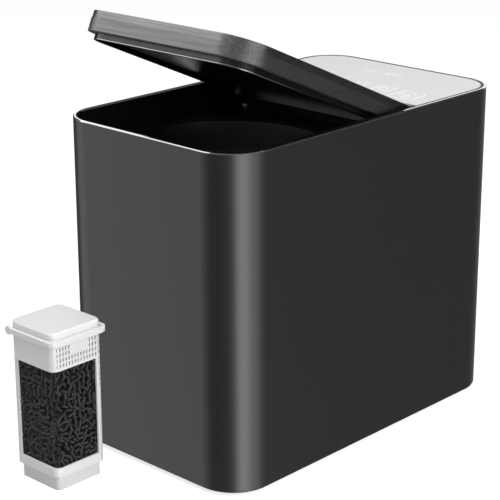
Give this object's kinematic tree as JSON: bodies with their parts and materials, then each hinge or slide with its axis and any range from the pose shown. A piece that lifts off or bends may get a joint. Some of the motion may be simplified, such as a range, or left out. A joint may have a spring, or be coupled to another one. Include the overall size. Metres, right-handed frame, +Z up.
{
  "type": "electric food waste composter",
  "caption": "Countertop electric food waste composter: rounded box body with a hinged lid, a lift-out stirred bucket, a heater and gear drive, and a separate carbon filter cartridge.",
  "frame": {"origin": "on the floor, under the middle of the machine and its filter cartridge together", "axes": "+Z up, front of the machine at -Y, its right side at +X when seen from the front"},
  "size_m": [0.217, 0.4596, 0.3982],
  "materials": {
    "shell_coat": "fine satin dark grey coat",
    "base_black": "matt black moulding",
    "inner_black": "matt black moulding",
    "foot_rubber": "soft matt black rubber",
    "seal_rubber": "soft dark grey silicone rubber",
    "zinc_steel": "bright zinc plate",
    "post_metal": "plain extruded rod",
    "panel_silver": "satin silver grey, smooth",
    "board_green": "green solder resist",
    "part_black": "moulded component cases",
    "lid_brushed": "metallic coat with faint brushed lines",
    "lid_gloss": "gloss black, mirror smooth",
    "magnet_metal": "nickel plate",
    "washer_nylon": "natural nylon",
    "chamber_metal": "drawn sheet",
    "felt": "pale ceramic fibre felt",
    "element_steel": "heat tinted sheath",
    "fuse_ceramic": "white unglazed ceramic",
    "pot_coat": "dark non-stick coat",
    "blade_steel": "cast and ground",
    "bronze": "sintered bronze",
    "gear_steel": "cut and oiled",
    "gearbox_metal": "die cast, matt",
    "motor_paint": "black motor can",
    "socket_black": "moulded inlet with bright contacts",
    "cartridge_white": "smooth white moulding",
    "cup_white": "smooth white moulding, a shade darker",
    "carbon": "packed black carbon pellets"
  },
  "bodies": {
    "machine": {"outer_shell": "shell_coat", "base_plate": "base_black", "rubber_feet": "foot_rubber", "case_posts": "post_metal", "case_screws": "zinc_steel", "small_screws": "zinc_steel", "chamber_deck": "inner_black", "lid_sensor": "inner_black", "hinge_brackets": "zinc_steel", "hinge_pins": "zinc_steel", "friction_washers": "washer_nylon", "panel_tray": "inner_black", "control_panel": "panel_silver", "display_board": "board_green", "touch_springs": "zinc_steel", "chamber_liner": "chamber_metal", "insulation_sleeve": "felt", "chamber_bracket": "zinc_steel", "heating_element": "element_steel", "heater_plate": "chamber_metal", "thermostat": "chamber_metal", "thermal_fuse": "fuse_ceramic", "gearbox_base": "gearbox_metal", "gearbox_cover": "gearbox_metal", "shaft_bearings": "bronze", "idler_axle": "gear_steel", "drive_motor": "motor_paint", "air_duct": "inner_black", "fan_frame": "inner_black", "filter_bay": "inner_black", "door_pins": "zinc_steel", "power_inlet": "socket_black", "power_board": "board_green", "board_bracket": "zinc_steel", "board_parts": "part_black"},
    "lid": {"lid_cover": "lid_brushed", "lid_top_panel": "lid_brushed", "lid_liner": "lid_gloss", "lid_magnet": "magnet_metal", "lid_gasket": "seal_rubber"},
    "bucket": {"bucket": "pot_coat", "shaft_bushing": "bronze", "shaft_seal": "seal_rubber", "fixed_blades": "blade_steel"},
    "bucket_handle": {"bucket_handle": "blade_steel"},
    "agitator": {"agitator_shaft": "blade_steel", "agitator": "pot_coat", "agitator_nut": "blade_steel", "drive_socket": "blade_steel"},
    "drive": {"output_shaft": "gear_steel", "output_gear": "gear_steel"},
    "idler": {"idler_gear": "gear_steel"},
    "pinion": {"motor_pinion": "gear_steel"},
    "fan": {"fan_rotor": "inner_black"},
    "door": {"filter_door": "shell_coat"},
    "cartridge": {"cartridge_base": "cup_white", "cartridge_frame": "cartridge_white", "carbon_block": "carbon"},
    "cartridge_handle": {"cartridge_handle": "cartridge_white"},
    "cartridge_cap": {"cartridge_cap": "cartridge_white"}
  },
  "joints": [
    {"name": "lid_hinge", "type": "hinge", "parent": "machine", "child": "lid", "pos_m": [0, 0.09625, 0.2995], "axis": [-1, 0, 0], "range_deg": [-23.84, 56.16]},
    {"name": "bucket_lift", "type": "slide", "parent": "machine", "child": "bucket", "axis": [0, 0, 1], "range_m": [0, 0.045]},
    {"name": "bucket_handle_swing", "type": "hinge", "parent": "bucket", "child": "bucket_handle", "pos_m": [0, -0.03495, 0.2513], "axis": [-1, 0, 0], "range_deg": [0, 90]},
    {"name": "agitator_spin", "type": "hinge", "parent": "bucket", "child": "agitator", "pos_m": [0, -0.03495, 0.1], "axis": [0, 0, 1], "continuous": true},
    {"name": "drive_spin", "type": "hinge", "parent": "machine", "child": "drive", "pos_m": [0, -0.03495, 0.018], "axis": [0, 0, 1], "continuous": true},
    {"name": "idler_spin", "type": "hinge", "parent": "machine", "child": "idler", "pos_m": [0, 0.03305, 0.018], "axis": [0, 0, 1], "continuous": true},
    {"name": "motor_spin", "type": "hinge", "parent": "machine", "child": "pinion", "pos_m": [0, 0.09105, 0.028], "axis": [0, 0, 1], "continuous": true},
    {"name": "fan_spin", "type": "hinge", "parent": "machine", "child": "fan", "pos_m": [-0.035, 0.14305, 0.178], "axis": [0, 1, 0], "continuous": true},
    {"name": "filter_door_hinge", "type": "hinge", "parent": "machine", "child": "door", "pos_m": [-0.005, 0.22425, 0.176], "axis": [0, 0, -1], "range_deg": [0, 90]},
    {"name": "cartridge_lift", "type": "slide", "parent": "machine", "child": "cartridge", "axis": [0, 0, 1], "range_m": [0, 0.1]},
    {"name": "cartridge_handle_swing", "type": "hinge", "parent": "cartridge", "child": "cartridge_handle", "pos_m": [-0.073, -0.19795, 0.138], "axis": [0, -1, 0], "range_deg": [0, 90]},
    {"name": "cap_lift", "type": "slide", "parent": "cartridge", "child": "cartridge_cap", "axis": [0, 0, 1], "range_m": [0, 0.03]}
  ],
  "couplings": [
    {"joint": "drive_spin", "follows": "agitator_spin", "ratio": 1},
    {"joint": "idler_spin", "follows": "agitator_spin", "ratio": -3.25},
    {"joint": "motor_spin", "follows": "agitator_spin", "ratio": 8.5312}
  ]
}
